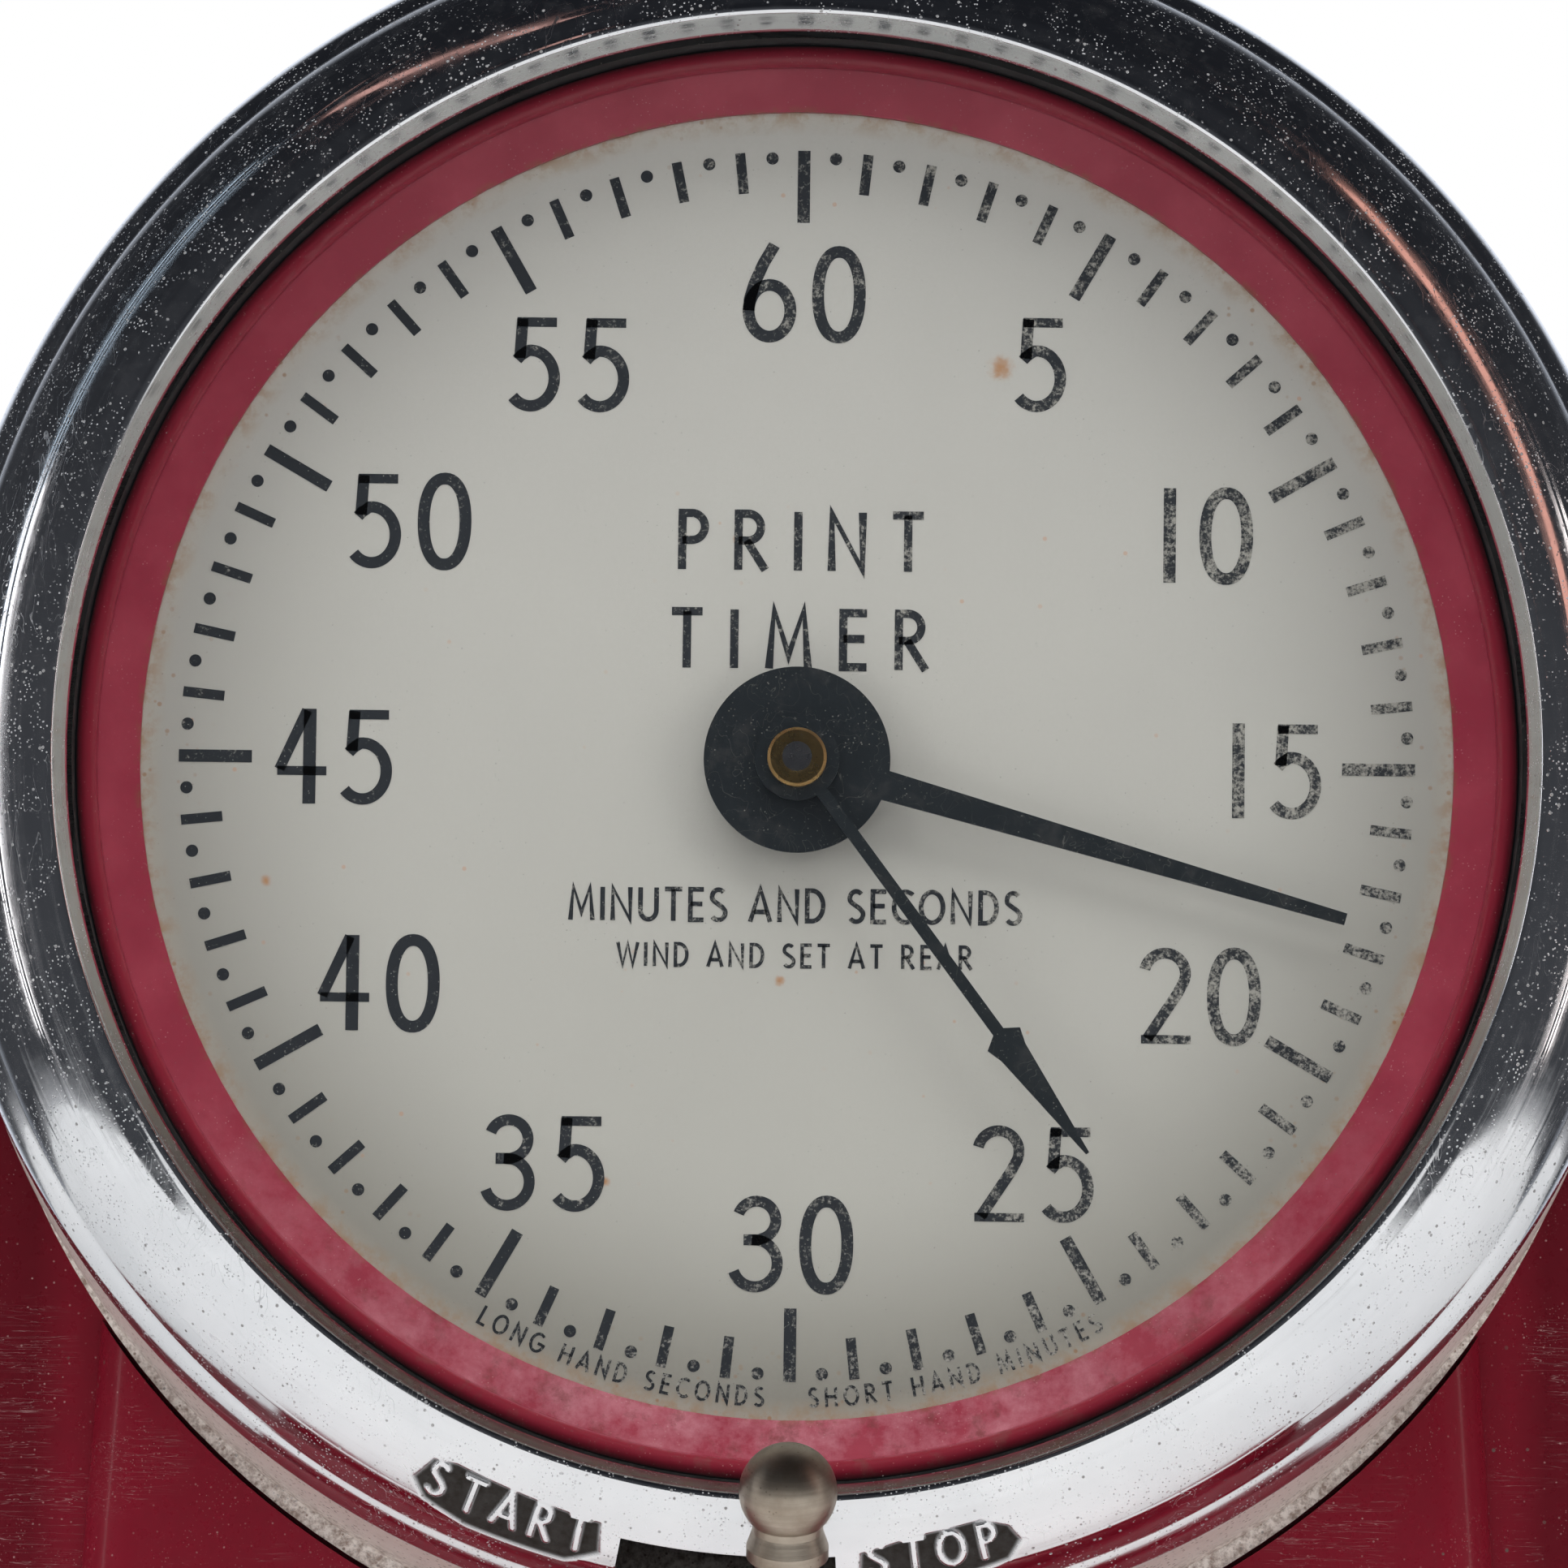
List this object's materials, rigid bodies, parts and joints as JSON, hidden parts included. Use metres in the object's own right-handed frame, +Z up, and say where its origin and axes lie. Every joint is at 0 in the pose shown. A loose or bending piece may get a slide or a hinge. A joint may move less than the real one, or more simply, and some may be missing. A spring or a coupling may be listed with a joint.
{
  "type": "wind-up darkroom timer",
  "caption": "Wind-up sixty-minute darkroom timer with a round dial, stepped chrome bezel, start and stop lever, and a flared enamelled case on a plinth.",
  "frame": {"origin": "centre of the bounding box at the level of the rubber feet's rest faces", "axes": "+X to the right seen from the front, +Y from the dial towards the back cover, +Z up"},
  "size_m": [0.13, 0.0692, 0.1468],
  "materials": {
    "chrome": "polished, pitted with age",
    "crimson_enamel": "gloss enamel, scuffed",
    "crimson_ring_enamel": "satin enamel",
    "dial_paint": "matte cream print, rust specks at the edge",
    "crystal_glass": "clear",
    "black_rubber": "matte",
    "hand_black": "satin black, dusty",
    "brass": "lightly tarnished",
    "nickel": "turned nickel plate, worn",
    "plated_steel": "zinc plated, dull",
    "blued_spring_steel": "tempered spring steel",
    "steel": "bright machined steel",
    "black_plastic": "moulded, fine scratches"
  },
  "bodies": {
    "case": {"back_cover": "crimson_enamel", "back_plate": "brass", "base_screws": "plated_steel", "bezel": "chrome", "bezel_seat_ring": "plated_steel", "case_shell": "crimson_enamel", "collar": "chrome", "collar_bolts": "plated_steel", "cover_posts": "plated_steel", "cover_screws": "nickel", "crystal": "crystal_glass", "crystal_gasket": "black_rubber", "dial_feet": "brass", "dial_plate": "dial_paint", "dial_ring": "crimson_ring_enamel", "front_plate": "brass", "hairspring": "blued_spring_steel", "hairspring_stud": "brass", "mainspring": "blued_spring_steel", "pedestal_panel": "crimson_enamel", "pillar_nuts": "steel", "pillars": "steel", "pipe_bush": "brass", "plate_spacers": "brass", "plinth": "crimson_enamel", "regulator_post": "brass", "rubber_feet": "black_rubber", "spacer_screws": "steel"},
    "seconds_train": {"seconds_hand": "hand_black", "seconds_pipe": "brass", "seconds_wheel": "brass", "seconds_pinion": "steel"},
    "centre_train": {"centre_wheel": "brass", "centre_pinion": "steel", "clutch_spring": "brass"},
    "minute_train": {"minute_arbor": "steel", "minute_hand": "hand_black", "hand_collet": "brass", "set_knob": "black_plastic"},
    "third_train": {"third_wheel": "brass", "third_pinion": "steel"},
    "escape_train": {"escape_wheel": "brass", "escape_pinion": "steel"},
    "main_train": {"main_wheel": "brass", "click_screw": "steel", "click_spring": "blued_spring_steel"},
    "winding_train": {"main_arbor": "steel", "ratchet_wheel": "steel", "winding_key": "plated_steel"},
    "click_pawl": {"click": "steel"},
    "pallet": {"pallet_lever": "steel", "pallet_arbor": "steel"},
    "balance": {"balance_wheel": "brass", "balance_staff": "steel", "balance_roller": "brass"},
    "start_stop_lever": {"control_arm": "plated_steel", "lever_rod": "steel", "lever_knob": "nickel", "brake_wire": "steel"},
    "regulator_index": {"regulator": "steel"}
  },
  "joints": [
    {"name": "seconds_turn", "type": "hinge", "parent": "case", "child": "seconds_train", "pos_m": [0, -0.01692, 0.088], "axis": [0, 1, 0], "continuous": true},
    {"name": "third_turn", "type": "hinge", "parent": "case", "child": "third_train", "pos_m": [-0.01871, -0.01692, 0.0988], "axis": [0, 1, 0], "continuous": true},
    {"name": "centre_turn", "type": "hinge", "parent": "case", "child": "centre_train", "pos_m": [0, -0.01692, 0.088], "axis": [0, 1, 0], "continuous": true},
    {"name": "main_turn", "type": "hinge", "parent": "case", "child": "main_train", "pos_m": [0, -0.01692, 0.0628], "axis": [0, 1, 0], "continuous": true},
    {"name": "escape_turn", "type": "hinge", "parent": "case", "child": "escape_train", "pos_m": [0.01655, -0.01692, 0.10188], "axis": [0, 1, 0], "continuous": true},
    {"name": "minute_set", "type": "hinge", "parent": "centre_train", "child": "minute_train", "pos_m": [0, -0.01692, 0.088], "axis": [0, 1, 0], "continuous": true},
    {"name": "winding", "type": "hinge", "parent": "main_train", "child": "winding_train", "pos_m": [0, -0.01692, 0.0628], "axis": [0, 1, 0], "continuous": true},
    {"name": "click_lift", "type": "hinge", "parent": "main_train", "child": "click_pawl", "pos_m": [-0.00868, -0.01692, 0.05672], "axis": [0, 1, 0], "range_deg": [0, 6]},
    {"name": "pallet_rock", "type": "hinge", "parent": "case", "child": "pallet", "pos_m": [0.01509, -0.01692, 0.11016], "axis": [0, 1, 0], "range_deg": [-4, 4]},
    {"name": "balance_swing", "type": "hinge", "parent": "case", "child": "balance", "pos_m": [0.01655, -0.01692, 0.11843], "axis": [0, 1, 0], "range_deg": [-220, 220]},
    {"name": "start_stop", "type": "hinge", "parent": "case", "child": "start_stop_lever", "pos_m": [0, -0.01692, 0.088], "axis": [0, 1, 0], "range_deg": [0, 8.5]},
    {"name": "regulate", "type": "hinge", "parent": "case", "child": "regulator_index", "pos_m": [0.01655, -0.01692, 0.11843], "axis": [0, 1, 0], "range_deg": [-18, 18]}
  ],
  "couplings": [
    {"joint": "third_turn", "follows": "seconds_turn", "ratio": -0.125},
    {"joint": "centre_turn", "follows": "seconds_turn", "ratio": 0.016667},
    {"joint": "main_turn", "follows": "seconds_turn", "ratio": -0.0027778},
    {"joint": "escape_turn", "follows": "seconds_turn", "ratio": -8}
  ]
}
